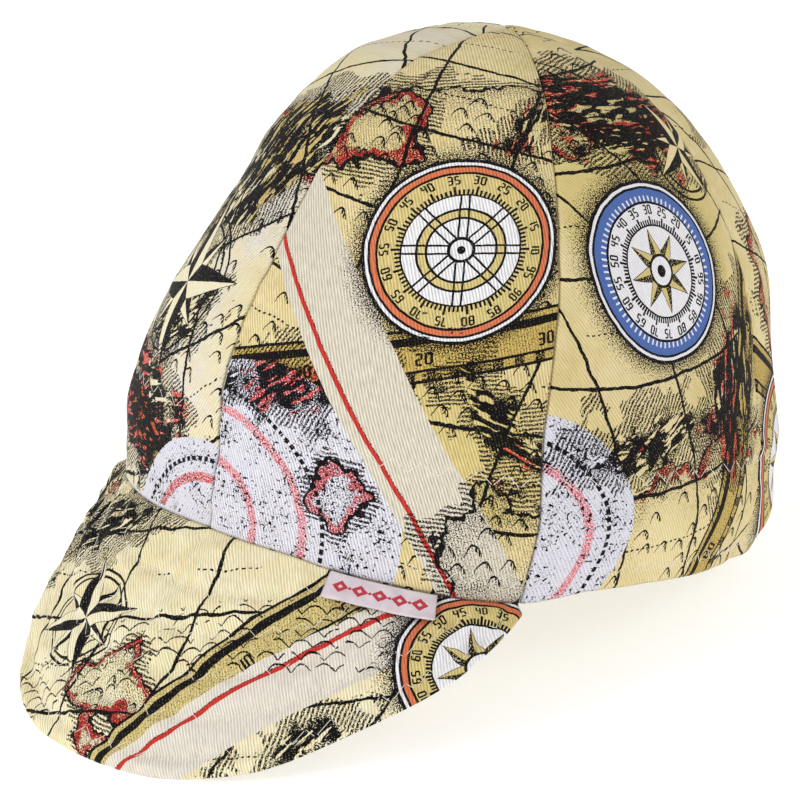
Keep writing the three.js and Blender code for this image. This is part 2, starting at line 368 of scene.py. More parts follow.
@lru_cache(maxsize=4096)
def half_ring(climb):
    """Half of the crown's outline at one climb, front centre to back centre: length walked, x and y."""
    front, back, side, shift = (
        between(CROWN_SECTIONS, "climb", column, climb) for column in ("front", "back", "side", "shift")
    )
    turn = np.linspace(0, math.pi, RING_STEPS + 1)
    forward = np.cos(turn)
    reach = np.where(
        forward > 0,
        front * np.abs(forward) ** FRONT_ROUNDNESS,
        -back * np.abs(forward) ** BACK_ROUNDNESS,
    )
    x, y = side * np.sin(turn), shift - reach
    walked = np.concatenate([[0], np.cumsum(np.hypot(np.diff(x), np.diff(y)))])
    return walked, x, y


def half_length(climb):
    return half_ring(round(float(climb), 6))[0][-1]


def folded(share):
    """A share of a turn as its distance from the front centre, and whether it is on the wearer's right."""
    turn = share % 1
    return np.where(turn > 0.5, 1 - turn, turn), turn > 0.5


def plain_points(share, climb):
    """Points of the crown without its dents. Each row of share has one climb."""
    points = np.empty(share.shape + (3,))
    near, mirrored = folded(share)
    for row, at in enumerate(climb):
        walked, x, y = half_ring(round(float(at), 6))
        walk = near[row] * 2 * walked[-1]
        points[row, :, 0] = np.interp(walk, walked, x) * np.where(mirrored[row], -1, 1)
        points[row, :, 1] = np.interp(walk, walked, y)
    height = height_at(np.asarray(climb, float))[:, None]
    lift = between(RIM_CURVE, "share", "lift", np.where(mirrored, -near, near))
    points[..., 2] = height + lift * np.maximum(0, 1 - height / RIM_FADE) ** 2
    return points


def unit(vectors):
    return vectors / np.maximum(np.linalg.norm(vectors, axis=-1, keepdims=True), 1e-12)


def plain_normals(share, climb):
    climb = np.asarray(climb, float)
    low, high = np.maximum(climb - CROWN_STEP, 0), np.minimum(climb + CROWN_STEP, HIGHEST_CLIMB)
    round_way = plain_points(share + CROWN_STEP, climb) - plain_points(share - CROWN_STEP, climb)
    up = plain_points(share, high) - plain_points(share, low)
    return unit(np.cross(round_way, up))


def lattice(columns, rows, seed):
    """Whole numbers hashed to values from -1 to 1, the same on every run."""
    by_column, by_row, by_seed, again = HASH_FACTORS
    mixed = (columns * by_column + rows * by_row + seed * by_seed) & 0xFFFFFFFF
    mixed = ((mixed ^ (mixed >> 13)) * again) & 0xFFFFFFFF
    return ((mixed ^ (mixed >> 16)) & 0xFFFF) / 32767.5 - 1


def waves(x, y, seed):
    """Smooth noise from -1 to 1 that changes over about one unit."""
    i, j = np.floor(x).astype(np.int64), np.floor(y).astype(np.int64)
    fx, fy = x - i, y - j
    fx, fy = fx**3 * (fx * (fx * 6 - 15) + 10), fy**3 * (fy * (fy * 6 - 15) + 10)
    low = lattice(i, j, seed) * (1 - fx) + lattice(i + 1, j, seed) * fx
    high = lattice(i, j + 1, seed) * (1 - fx) + lattice(i + 1, j + 1, seed) * fx
    return low * (1 - fy) + high * fy


def layered(kind, x, y):
    """All layers of one kind of wave, at x and y in millimetres."""
    total = 0
    for wide, tall, lean, slip, weight, seed in zip(*WAVES[kind].values()):
        total = total + weight * waves(x / wide + y / lean, y / tall + x / slip, int(seed))
    return total


def relief(share, climb):
    """How far the cloth stands out of the plain crown, as in the frame, with its fine folds."""
    climb = np.asarray(climb, float)[:, None]
    height = height_at(climb)
    half = np.array([half_length(at) for at in climb[:, 0]])[:, None]
    in_gore = (share * GORES) % 1
    fade = np.minimum(1, half / FOLD_FADE)
    pull = SEAM_PULL * np.abs(np.cos(math.pi * in_gore)) ** SEAM_SHARPNESS
    out = fade * (GORE_PUFF * np.sin(math.pi * in_gore) - pull)
    for dents in (CROWN_DENTS, RIM_FOLDS):
        for at, middle, round_reach, tall, depth in zip(*dents.values()):
            apart = share - at
            across = (apart - np.round(apart)) * 2 * half / round_reach
            out = out + depth * np.exp(-(across**2 + ((height - middle) / tall) ** 2))
    return out + fine_relief(share, height, half, in_gore, fade)


def fine_relief(share, height, half, in_gore, fade):
    width = 2 * half / GORES
    from_seam = np.minimum(in_gore, 1 - in_gore) * width
    seam = np.round(share * GORES) % GORES
    round_way = (share % 1) * 2 * half
    out = -SEAM_VALLEY * np.exp(-((from_seam / SEAM_VALLEY_REACH) ** 2))
    out = out + fade * PUCKER * layered("seam_pucker", height, seam) * np.exp(-from_seam / PUCKER_REACH)
    out = out + fade * CREASE * layered("crease", round_way, height)
    pucker = ROW_PUCKER * layered("row_pucker", round_way, height)
    for at in CROWN_ROWS:
        away = np.abs(height - at)
        out = out - ROW_SINK * np.exp(-((away / ROW_SINK_REACH) ** 2))
        out = out + pucker * np.exp(-away / ROW_PUCKER_REACH)
    return out


def stand(points):
    """Tips points of the cap's own frame back, sets them down and presses them flat on the floor."""
    pitch = math.radians(REST_PITCH)
    x, y, z = points[..., 0], points[..., 1], points[..., 2]
    down = np.maximum(-y * math.sin(pitch) + z * math.cos(pitch) + REST_LIFT, 0)
    return np.stack([x, y * math.cos(pitch) + z * math.sin(pitch) + REST_SHIFT, down], -1)


def crown_points(share, climb, depth):
    out = relief(share, climb) - depth
    return plain_points(share, climb) + plain_normals(share, climb) * out[..., None]


def brim_length(across):
    return between(BRIM_SECTIONS, "across", "length", across)


def brim_plain(across, out):
    """The brim's unquilted face at across (-1 to 1) and out (0 at the seam to 1 at the edge)."""
    length = brim_length(across)
    slope, curl = (
        np.radians(between(BRIM_SECTIONS, "across", column, across)) for column in ("slope", "curl")
    )
    turn = math.radians(BRIM_FAN) * across
    start = slope - curl / 2
    end = start + curl * out
    reach = (length / curl) * (np.sin(end) - np.sin(start))
    drop = (length / curl) * (np.cos(start) - np.cos(end))
    share = across * BRIM_SHARE
    rim = np.zeros(len(share))
    plain = plain_points(share, rim)
    pull = relief(share, rim) * (1 - out) ** 2
    seam = plain + plain_normals(share, rim) * pull[..., None]
    return seam + np.stack([reach * np.sin(turn), -reach * np.cos(turn), -drop - CLOTH_GAP], -1)


def brim_normals(across, out):
    left, right = np.minimum(across + BRIM_STEP, 1), np.maximum(across - BRIM_STEP, -1)
    high, low = np.maximum(out - BRIM_STEP, 0), np.minimum(out + BRIM_STEP, 1)
    round_way = brim_plain(left, out) - brim_plain(right, out)
    up = brim_plain(across, high) - brim_plain(across, low)
    return unit(np.cross(round_way, up))


def quilting(across, out):
    """Height of the quilted face over the plain one: rows sink, the cloth between puffs and puckers."""
    from_edge = (1 - out) * brim_length(across)
    from_seam = out * brim_length(across)
    along = across * BRIM_HALF_WIDTH
    from_row = np.min([np.abs(from_edge - row) for row in BRIM_ROWS], axis=0)
    height = QUILT_PUFF - (QUILT_PUFF + QUILT_SINK) * np.exp(-((from_row / QUILT_SINK_REACH) ** 2))
    height = height + QUILT_PUCKER * layered("quilt_pucker", along, from_edge)
    swell = layered("quilt_swell", along, from_edge)
    height = height + swell * np.minimum(1, from_seam / QUILT_SWELL_START)
    drag = layered("drag", along, from_seam)
    height = height + DRAG * drag * np.exp(-((from_seam / DRAG_REACH) ** 2))
    return height * np.minimum(1, from_seam / QUILT_SEAM_FADE) * np.minimum(1, from_edge / QUILT_EDGE_FADE)


def brim_points(across, out, depth=0):
    lift = quilting(across, out) - depth
    return brim_plain(across, out) + brim_normals(across, out) * lift[..., None]


def rounded(distance, thickness):
    """Half of the cloth's thickness at a distance from its edge, rounded off to nothing at the edge."""
    near = np.clip(distance / (thickness * EDGE_ROUNDNESS), 0, 1)
    return thickness / 2 * np.sqrt(1 - (1 - near) ** 2)


# Mesh building
def deselect_all():
    if bpy.context.object and bpy.context.object.mode != "OBJECT":
        bpy.ops.object.mode_set(mode="OBJECT")
    bpy.ops.object.select_all(action="DESELECT")


def select(*pieces):
    """Selects these pieces and nothing else, with the first one active."""
    deselect_all()
    for piece in pieces:
        piece.select_set(True)
    bpy.context.view_layer.objects.active = pieces[0]


def edit(piece):
    select(piece)
    bpy.ops.object.mode_set(mode="EDIT")
    bpy.ops.mesh.select_all(action="SELECT")


def joined(name, pieces):
    """Joins pieces that stay as they lie into one smooth piece."""
    select(*pieces)
    bpy.ops.object.join()
    bpy.ops.object.shade_smooth()
    pieces[0].name = pieces[0].data.name = name
    return pieces[0]


def cloth_face(points, flat, turned):
    """One face of a cloth: a flat grid whose vertices move to points, given in millimetres."""
    rows, columns = points.shape[0] - 1, points.shape[1] - 1
    deselect_all()
    bpy.ops.mesh.primitive_grid_add(x_subdivisions=columns, y_subdivisions=rows, size=1)
    face = bpy.context.object
    mesh = face.data
    places = np.empty(len(mesh.vertices) * 3)
    mesh.vertices.foreach_get("co", places)
    places = places.reshape(-1, 3)
    i = np.rint((places[:, 0] + 0.5) * columns).astype(int)
    j = np.rint((places[:, 1] + 0.5) * rows).astype(int)
    mesh.vertices.foreach_set("co", (points[j, i] * MM).ravel())
    corners = np.empty(len(mesh.loops), dtype=np.int32)
    mesh.loops.foreach_get("vertex_index", corners)
    mesh.uv_layers.active.data.foreach_set("uv", (flat[j, i] * MM)[corners].ravel())
    if turned:
        mesh.polygons.foreach_set("material_index", np.ones(len(mesh.polygons), dtype=np.int32))
        edit(face)
        bpy.ops.mesh.flip_normals()
    deselect_all()
    return face


def cloth(name, middle, normals, half, flat, materials):
    """A closed cloth round a middle surface, with an outer and an inner face that meet at its edges."""
    faces = []
    for turned in (False, True):
        side = -1 if turned else 1
        face = cloth_face(stand(middle + side * normals * half[..., None]), flat, turned)
        for material in materials:
            face.data.materials.append(material)
        faces.append(face)
    piece = joined(name, faces)
    edit(piece)
    bpy.ops.mesh.remove_doubles(threshold=MERGE_DISTANCE)
    deselect_all()
    piece.data.uv_layers.active.name = "cut"
    return piece


def cut_area(flat):
    """Area of a flat cut given as a grid, in square metres."""
    a, b = flat[1:, 1:] - flat[:-1, :-1], flat[1:, :-1] - flat[:-1, 1:]
    return float(np.abs(a[..., 0] * b[..., 1] - a[..., 1] * b[..., 0]).sum() / 2) * MM * MM


def cut_size(flat):
    return tuple(float(side) * MM for side in np.ptp(flat.reshape(-1, 2), axis=0))


def walked_along(line):
    """Length walked from the start of a line to each of its points."""
    return np.concatenate([[0], np.cumsum(np.linalg.norm(np.diff(line, axis=0), axis=1))])


def even_climbs(share, rows, top):
    """Climbs from the rim to the top that are even along one line up the crown, and the lengths there."""
    fine = np.linspace(0, top, LINE_STEPS)
    walked = walked_along(plain_points(np.full((len(fine), 1), share), fine)[:, 0])
    lengths = np.linspace(0, walked[-1], rows + 1)
    return np.interp(lengths, walked, fine), lengths


def crowded(columns):
    """Shares from 0 to 1 that lie closer at both ends."""
    t = np.linspace(0, 1, columns + 1)
    return (1 - EDGE_CROWDING) * t + EDGE_CROWDING * (1 - np.cos(math.pi * t)) / 2


def crown_top():
    top_side = between(CROWN_SECTIONS, "climb", "side", CROWN_SECTIONS["climb"][-2])
    return 1 - TOP_RADIUS / (top_side / (1 - CROWN_SECTIONS["climb"][-2]))


# Materials
def shade(name):
    """One of the colours that the user may change."""
    return tuple(getattr(bpy.context.scene.cap_colours, name))


# How far the lines of motifs drawn by hand and of ruled ones stray, in millimetres
FREEHAND_WOBBLE = 2.4
RULED_WOBBLE = 0.8
# Shares of the ribs and of the slubs in the height of a twill, and how strongly its bump shows
RIB_HEIGHT = 0.62
SLUB_HEIGHT = 0.76
BUMP_STRENGTH = 0.7
# Distance between two lozenges on the tag, and the length of their row
LOZENGE_STEP = 5.4
LOZENGE_ROW = 26
# Places of a Mix node's factor and two colours among its inputs, and of its colour among its outputs
MIX_INPUTS = (0, 6, 7)
MIX_RESULT = 2


class Field:
    """A number that varies over a surface. Arithmetic and comparing add Math nodes to its tree."""

    def __init__(self, tree, socket):
        self.tree, self.socket = tree, socket

    def op(self, operation, *others, clamp=False):
        node = self.tree.nodes.new("ShaderNodeMath")
        node.operation = operation
        node.use_clamp = clamp
        for socket, value in zip(node.inputs, (self, *others)):
            if isinstance(value, Field):
                self.tree.links.new(value.socket, socket)
            else:
                socket.default_value = value
        return Field(self.tree, node.outputs[0])

    __add__ = __radd__ = partialmethod(op, "ADD")
    __sub__ = partialmethod(op, "SUBTRACT")
    __mul__ = __rmul__ = __and__ = partialmethod(op, "MULTIPLY")
    __truediv__ = partialmethod(op, "DIVIDE")
    __mod__ = partialmethod(op, "FLOORED_MODULO")
    __lt__ = partialmethod(op, "LESS_THAN")
    __gt__ = partialmethod(op, "GREATER_THAN")
    __or__ = partialmethod(op, "MAXIMUM")
    __abs__ = partialmethod(op, "ABSOLUTE")
    floor = partialmethod(op, "FLOOR")

    def __rsub__(self, other):
        return (self * -1) + other

    def limited(self):
        """Kept from 0 to 1."""
        return self.op("ADD", 0, clamp=True)

    def near(self, value, width):
        """1 on a line where the field has a value, of a width in the field's own units."""
        return self.op("COMPARE", value, width / 2)

    def within(self, low, high):
        return self.near((low + high) / 2, high - low)

    def every(self, step):
        """Distance to the nearest multiple of a step."""
        return self.op("PINGPONG", step / 2)

    def without(self, mask):
        return self & (1 - mask)


class Cloth:
    """A woven material. Its places are in millimetres of the flat cut, from the piece's UV map."""

    def __init__(self, name, roughness, sheen=0.15, specular=0.2):
        self.material = bpy.data.materials.new(name)
        self.material.use_nodes = True
        self.tree = self.material.node_tree
        self.shader = self.tree.nodes["Principled BSDF"]
        self.shader.inputs["Roughness"].default_value = roughness
        self.shader.inputs["Sheen Weight"].default_value = sheen
        self.shader.inputs["Sheen Roughness"].default_value = 0.5
        self.shader.inputs["Specular IOR Level"].default_value = specular
        cut = self.tree.nodes.new("ShaderNodeUVMap")
        cut.uv_map = "cut"
        self.flat = self.vector("SCALE", cut.outputs["UV"], scale=1 / MM)
        self.place = self.flat
        self.ink = None
        self.colour = None

    def vector(self, operation, first, second=None, scale=None):
        node = self.tree.nodes.new("ShaderNodeVectorMath")
        node.operation = operation
        for socket, value in ((node.inputs[0], first), (node.inputs[1], second)):
            if isinstance(value, (tuple, list)):
                socket.default_value = value
            elif value is not None:
                self.tree.links.new(value, socket)
        if isinstance(scale, Field):
            self.tree.links.new(scale.socket, node.inputs["Scale"])
        elif scale is not None:
            node.inputs["Scale"].default_value = scale
        return node.outputs["Value" if operation == "LENGTH" else "Vector"]

    def parts(self, vector):
        node = self.tree.nodes.new("ShaderNodeSeparateXYZ")
        self.tree.links.new(vector, node.inputs[0])
        return Field(self.tree, node.outputs["X"]), Field(self.tree, node.outputs["Y"])

    def moved(self, place, x, y, turn=0, stretch=(1, 1)):
        node = self.tree.nodes.new("ShaderNodeMapping")
        node.vector_type = "TEXTURE"
        node.inputs["Location"].default_value = (x, y, 0)
        node.inputs["Rotation"].default_value = (0, 0, math.radians(turn))
        node.inputs["Scale"].default_value = (*stretch, 1)
        self.tree.links.new(place, node.inputs["Vector"])
        return node.outputs["Vector"]

    def noise(self, size, detail=2, shift=0, stretch=(1, 1), turn=0, roughness=0.5, place=None):
        """Noise whose spots are about size millimetres across, as a number and as three numbers."""
        node = self.tree.nodes.new("ShaderNodeTexNoise")
        node.noise_dimensions = "2D"
        node.inputs["Scale"].default_value = 1 / size
        node.inputs["Detail"].default_value = detail
        node.inputs["Roughness"].default_value = roughness
        place = self.moved(place or self.place, shift, shift * 0.7, turn, stretch)
        self.tree.links.new(place, node.inputs["Vector"])
        field = Field(self.tree, node.outputs["Fac"])
        field.three = node.outputs["Color"]
        return field

    def chance(self, column, row):
        """A random number from 0 to 1 for each cell, the same on every run."""
        joined = self.tree.nodes.new("ShaderNodeCombineXYZ")
        self.tree.links.new(column.socket, joined.inputs["X"])
        self.tree.links.new(row.socket, joined.inputs["Y"])
        node = self.tree.nodes.new("ShaderNodeTexWhiteNoise")
        node.noise_dimensions = "2D"
        self.tree.links.new(joined.outputs[0], node.inputs["Vector"])
        return Field(self.tree, node.outputs["Value"])

    def local(self, x, y, turn=0, place=None):
        """Places measured from a point of the cut, along a line turned by degrees and across it."""
        return self.parts(self.moved(place or self.place, x, y, turn))

    def oval(self, x, y, turn, stretch):
        """Distance from a point, in which an ellipse drawn out along a line is round."""
        along, across = self.local(x, y, turn)
        return ((along / stretch) * (along / stretch) + across * across).op("SQRT")

    def polar(self, x, y, turn=0):
        moved = self.moved(self.place, x, y, turn)
        along, across = self.parts(moved)
        return Field(self.tree, self.vector("LENGTH", moved)), across.op("ARCTAN2", along)

    def mix(self, mask, first, second):
        """The first colour where the mask is 0 and the second where it is 1."""
        node = self.tree.nodes.new("ShaderNodeMix")
        node.data_type = "RGBA"
        for index, value in zip(MIX_INPUTS, (mask, first, second)):
            socket = node.inputs[index]
            if isinstance(value, Field):
                self.tree.links.new(value.socket, socket)
            elif isinstance(value, bpy.types.NodeSocket):
                self.tree.links.new(value, socket)
            else:
                socket.default_value = (*shade(value), 1)
        return node.outputs[MIX_RESULT]

    def fill(self, mask, colour):
        self.colour = self.mix(mask, self.colour, colour)

    def cover(self, mask, colour):
        """Paints over all that is there, its ink too."""
        self.fill(mask, colour)
        if self.ink is not None:
            self.ink = self.ink.without(mask)

    def draw(self, mask):
        self.ink = mask if self.ink is None else self.ink | mask

    def weave(self, turn, pitch=0.88, depth=0.1, contrast=0.3):
        """Ribs of a twill at an angle: they stand up, and painted shade darkens the colour a little in
        their valleys.
        """
        ribs = (self.local(0, 0, turn, self.flat)[1] * (2 * math.pi / pitch)).op("SINE") * 0.5 + 0.5
        slubs = self.noise(pitch / 2, shift=40, stretch=(7, 1), turn=turn, place=self.flat)
        height = ribs * RIB_HEIGHT + slubs * SLUB_HEIGHT
        level = 1 - contrast * (RIB_HEIGHT + SLUB_HEIGHT) / 2
        # The colour is darker where the twill is low: painted shade in the ribs' valleys, and uneven tone
        # along the slubs
        self.colour = self.vector("SCALE", self.colour, scale=height * contrast + level)
        bump = self.tree.nodes.new("ShaderNodeBump")
        bump.inputs["Strength"].default_value = BUMP_STRENGTH
        bump.inputs["Distance"].default_value = depth * MM
        self.tree.links.new(height.socket, bump.inputs["Height"])
        self.tree.links.new(bump.outputs["Normal"], self.shader.inputs["Normal"])
        return ribs

    def finish(self):
        self.tree.links.new(self.colour, self.shader.inputs["Base Color"])
        return self.material


class Chart(Cloth):
    """Cloth printed as an old sea chart. Every measure is in millimetres of the flat cut."""

    # Widths of the graticule's lines, of a strip's coloured line and of a dotted arc
    LINE = 1
    EDGE_LINE = 1.3
    ARC_WIDTH = 2.6
    # Distance between two numbers of a margin, and the steps along and across of hill signs and of waves
    NUMBERS_APART = 34
    HILL_STEP = (7.4, 4.6)
    WAVE_STEP = (6.5, 3.4)
    # Length of a coast's bays, how far an engraved mass's edge strays, how densely land is dotted, and the
    # noise from which a mass is scratched
    COAST_BAYS = 17
    MASS_STRAY = 12
    LAND_DENSITY = 0.49
    SCRATCHES = 0.6
    # A figure's half height, the step to the next one, and the width of its bars
    FIGURE_HALF = 1.05
    FIGURE_STEP = 1.8
    BAR = 0.42
    # A dial's rim, its scale and the stippled ring round it, and its parts as shares of its core
    DIAL_RIM = 1.7
    DIAL_SCALE = 6.6
    DIAL_HALO = 9
    SUN_TIP = 0.92
    SUN_HOLE = 0.34
    SUN_HUB = 0.13
    WHEEL_INNER = 0.58
    WHEEL_OUTER = 0.74

    def __init__(self, name, shift, ground, pale):
        super().__init__(name, roughness=0.92, sheen=0.04, specular=0.12)
        self.shift = shift
        wobble = self.noise(9, detail=5, shift=shift, roughness=0.62)
        centred = self.vector("SUBTRACT", wobble.three, (0.5, 0.5, 0.5))
        self.rough, self.steady = (
            self.vector("ADD", self.flat, self.vector("SCALE", centred, scale=scale))
            for scale in (FREEHAND_WOBBLE, RULED_WOBBLE)
        )
        self.grain = self.noise(0.42, detail=1, shift=shift + 3)
        self.blotch = self.noise(26, detail=3, shift=shift + 9)
        self.cloud = self.noise(8, detail=4, shift=shift + 17)
        self.colour = self.mix((self.blotch * 2.6 - 0.8).limited(), ground, pale)
        self.fill(((self.cloud * 4 - 1.9).limited()) * 0.6, "buff")

    def stipple(self, amount):
        """Dots: none where amount is under 0.2, half the ground at 0.5 and all of it from 0.8."""
        return (self.grain + amount) > 1

    def graticule(self, x, y, turn, step, bend=0.0012):
        """Bent meridians and parallels, with dotted ones halfway."""
        along, across = self.local(x, y, turn)
        meridians = along + across * across * bend
        parallels = across - along * along * bend
        half = self.LINE / 2
        self.draw((meridians.every(step[0]) < half) | (parallels.every(step[1]) < half))
        halfway = (parallels + step[1] / 2).every(step[1]) < 0.28
        self.draw(halfway & (along.every(1.9) < 0.5) & (self.blotch > 0.47))

    def numerals(self, x, y, value):
        """A number of two figures in short bars, 2.4 high, about the middle of x and y."""
        digit = (value / 10).floor()
        digit = digit + (value % 10 - digit) * (x > 0)
        figures = [digit.near(figure, 0.5) for figure in range(10)]
        place = x % self.FIGURE_STEP - self.FIGURE_STEP / 2
        right, upper = place > 0, y > 0
        standing = abs(place).near(0.5, 0.5) & (abs(y) < self.FIGURE_HALF)
        lying = abs(place) < 0.5
        # Each bar, with the figures that lack it
        bars = (
            (y.near(self.FIGURE_HALF, self.BAR) & lying, (1, 4)),
            (y.near(0, 0.36) & lying, (0, 1, 7)),
            (y.near(-self.FIGURE_HALF, self.BAR) & lying, (1, 4, 7)),
            (standing & right & upper, (5, 6)),
            ((standing & right).without(upper), (2,)),
            ((standing & upper).without(right), (1, 2, 3, 7)),
            (standing.without(right | upper), (1, 3, 4, 5, 7, 9)),
        )
        marks = [bar.without(reduce(or_, [figures[figure] for figure in absent])) for bar, absent in bars]
        return reduce(or_, marks) & (abs(x) < self.FIGURE_STEP)

    def frame_band(self, x, y, turn, width, colour="ochre_dark", first=0):
        """A chart's margin: a stippled strip between chequered and heavy lines, with its degrees."""
        along, across = self.local(x, y, turn)
        inside = abs(across) < width / 2
        self.cover(inside, colour)
        low, high = -width / 2, width / 2
        marks = across.near(low, 0.9) | across.near(low + 3, 0.8) | across.near(high - 3.2, 2.4)
        marks = marks | across.near(high, 0.9) | (self.stipple(0.37) & inside)
        marks = marks | (across.within(low, low + 3) & (along.every(6) < 1.4) & self.stipple(0.62))
        number = ((along - first) / self.NUMBERS_APART + 0.5).floor()
        value = (number % 8) * 10 + 10
        sideways = (along - first - number * self.NUMBERS_APART) / 1.5
        self.draw(marks | self.numerals(sideways, (across - low - 6.4) / 1.5, value))

    def band(self, x, y, turn, width, colour, edge=None):
        """A plain strip over what is there, with a coloured line along it."""
        across = self.local(x, y, turn)[1]
        self.cover(abs(across) < width / 2, colour)
        if edge is not None:
            self.fill(across.near(edge, self.EDGE_LINE), "red")
            self.draw(across.near(edge + self.EDGE_LINE / 2, 0.35) & self.stipple(0.5))

    def wash(self, x, y, radius, colour):
        """A soft patch of another ground."""
        reach = self.oval(x, y, 0, 1)
        self.fill(((radius - reach) / 10 + (self.blotch - 0.5) * 3 + 0.5).limited(), colour)

    def land(self, x, y, turn=0, radius=None, rough=15, tint=None, seed=0, hills=True):
        """A coast: an island of a radius, or the ground on one side of a line."""
        if radius is None:
            shore = self.local(x, y, turn)[1]
        else:
            shore = radius - self.polar(x, y, turn)[0]
        uneven = self.noise(self.COAST_BAYS, detail=4, shift=self.shift + seed + 20)
        depth = shore + (uneven - 0.5) * (2 * rough)
        along = self.local(x, y, turn + 90)[0]
        hatching = (along.every(1.3) < 0.36) & depth.within(-3 - seed % 3, 0)
        marks = depth.near(0.2, 1.5) | (hatching & self.stipple(0.6))
        marks = marks | (self.stipple(self.LAND_DENSITY - depth * 0.012) & (depth > 0))
        if hills:
            marks = marks | (self.hill_signs(seed) & (depth > 3))
        if tint:
            soft = depth + (self.grain - 0.5) * 3
            self.fill(soft.within(0.6, 3.6) & self.stipple(0.42 + self.cloud * 0.5), tint)
        self.draw(marks)

    def hill_signs(self, seed):
        """Small scattered mounds, shaded on one side, as an engraver marks hills."""
        wide, high = self.HILL_STEP
        along, across = self.local(seed * 1.3, seed * 0.7, (seed % 3 - 1) * 9)
        row = (across / high).floor()
        shifted = along + row * (wide * 0.43)
        luck = self.chance((shifted / wide + 0.5).floor(), row)
        away = shifted.every(wide)
        slope = across % high + away * away * (luck * 0.3 + 0.3)
        shaded = shifted.op("WRAP", wide / 2, -wide / 2) > 0.2
        shading = slope.within(1.5, 3) & shaded & (shifted.every(0.8) < 0.24)
        return (slope.near(3, 0.7) | shading) & (away < 2.9) & (luck > 0.52)

    def shadow(self, x, y, turn, radius, stretch, seed, tint=None):
        """A dark engraved mass with a dotted and hatched edge and fine pale scratches."""
        uneven = self.noise(10, detail=4, shift=self.shift + seed + 31)
        depth = radius - self.oval(x, y, turn, stretch) + (uneven - 0.5) * (2 * self.MASS_STRAY)
        strokes = self.noise(1.5, detail=2, shift=seed + 7, stretch=(6, 1), turn=turn + 25)
        pale = (strokes > self.SCRATCHES) | ((self.cloud > 0.57) & (strokes > 0.5))
        if tint:
            self.fill(pale & (depth > -1) & (self.blotch > 0.48) & self.stipple(0.62), tint)
        lines = (self.local(x, y, turn + 50)[1].every(1.2) < 0.34) & depth.within(-5, 1) & self.stipple(0.6)
        self.draw((self.stipple(depth * 0.11 + 0.42).without(pale)) | lines)

    def arcs(self, x, y, radii, colour, beads):
        """Rings about a point in coloured dots, and a row of ink beads."""
        reach, angle = self.polar(x, y)
        soft = reach + (self.grain - 0.5) * 2.4
        for radius in radii:
            self.fill(soft.near(radius, self.ARC_WIDTH) & self.stipple(0.56), colour)
        self.draw(reach.near(beads, 1.3) & ((angle * beads).every(2.4) < 0.75))

    def chalk(self, x, y, radius):
        """A round patch of a pale speckled ground."""
        depth = radius - self.polar(x, y)[0]
        self.cover(depth > 0, "chalk")
        blots = self.noise(1.1, detail=1, shift=self.shift + 51) + self.cloud * 0.5
        self.draw((self.stipple(0.3 + (self.cloud - 0.5) * 0.5) | (blots > 0.93)) & (depth > 0))

    def dial(self, x, y, radius, ring, turn=0, kind="wheel", scale="face", width=2.2):
        """A round instrument: a rim, a coloured ring, a scale with figures, and a wheel or a sun."""
        reach, angle = self.polar(x, y, turn)
        outer = radius - self.DIAL_RIM
        inner = outer - width
        core = inner - self.DIAL_SCALE
        self.cover(reach < radius, "face")
        self.fill(reach.within(core, inner), scale)
        self.fill(reach.within(inner, outer), ring)
        halo = self.stipple(0.62 - (reach - radius) * 0.05) & reach.within(radius, radius + self.DIAL_HALO)
        marks = halo | reach.near(radius, 1) | reach.near(outer, 0.7) | reach.near(inner, 0.7)
        small = (angle.every(math.pi / 45) * reach < 0.32) & reach.within(core, core + 1.7)
        large = (angle.every(math.pi / 9) * reach < 0.36) & reach.within(core, core + 2.7)
        sector = angle * (9 / math.pi)
        number = (sector + 0.5).floor()
        sideways = (number - sector) * (math.pi / 9) * reach
        label = self.numerals(sideways / 1.1, (reach - inner + 2) / 1.1, (number % 18) * 5 + 10)
        marks = marks | small | large | reach.near(core, 0.5) | label
        if width > 3:
            notches = (angle.every(math.pi / 36) * reach < 0.3) & reach.within(inner + 0.4, inner + 2)
            self.fill(notches, "face")
        if kind == "wheel":
            spoke = angle.every(math.pi / 4) * reach
            marks = marks | (spoke.near(1.2, 0.6) & reach.within(3.4, core)) | reach.near(3.4, 0.9)
            low, high = core * self.WHEEL_INNER, core * self.WHEEL_OUTER
            marks = marks | reach.near(low, 0.7) | reach.near(high, 0.7) | (reach < 1.2)
            self.fill(reach.within(low, high), scale)
        else:
            point = reach * (angle.every(math.pi / 4) * 3 + 1)
            half = angle.op("WRAP", math.pi / 8, -math.pi / 8) > 0
            tip, hole = core * self.SUN_TIP, core * self.SUN_HOLE
            rays = (point < tip) & (reach > hole)
            self.fill(rays, "ochre")
            marks = marks | (point.near(tip, 0.7) & (reach > hole)) | reach.near(hole, 0.8)
            marks = marks | (rays & half & self.stipple(0.64)) | (reach < core * self.SUN_HUB)
        self.draw(marks & (reach < radius + self.DIAL_HALO))

    def wind_star(self, x, y, radius, turn=0, rings=(0.66, 0.76), light="painted_light_pale"):
        """A star of eight half-shaded points in thin rings."""
        reach, angle = self.polar(x, y, turn)
        for ring in rings:
            self.draw(reach.near(radius * ring, 0.8))
        for offset, size in ((math.pi / 4, 0.7), (0, 1)):
            facing = (angle + offset).op("WRAP", math.pi / 4, -math.pi / 4)
            point = reach * (abs(facing) * 3.4 + 1)
            star = point < radius * size
            self.cover(star, light)
            self.draw((star & (facing > 0)) | point.near(radius * size, 0.8))

    def swell(self, x, y, turn, width):
        """Rows of small scalloped waves in a strip."""
        wide, high = self.WAVE_STEP
        along, across = self.local(x, y, turn)
        row = (across / high).floor()
        arch = (along + row * (wide / 2)).every(wide)
        wave = (across % high + arch * arch * 0.22).near(2.3, 0.6)
        self.draw(wave & (abs(across) < width / 2) & self.stipple(0.7) & (self.cloud > 0.44))

    def printed(self, grain, contrast):
        """Lays the ink on the twill, a little thinner on its ribs."""
        ribs = self.weave(grain, contrast=contrast)
        worn = (ribs * 0.45 + self.grain) > 1.05
        self.colour = self.mix(self.ink & (worn * -0.2 + 1), self.colour, "ink")
        return self.finish()


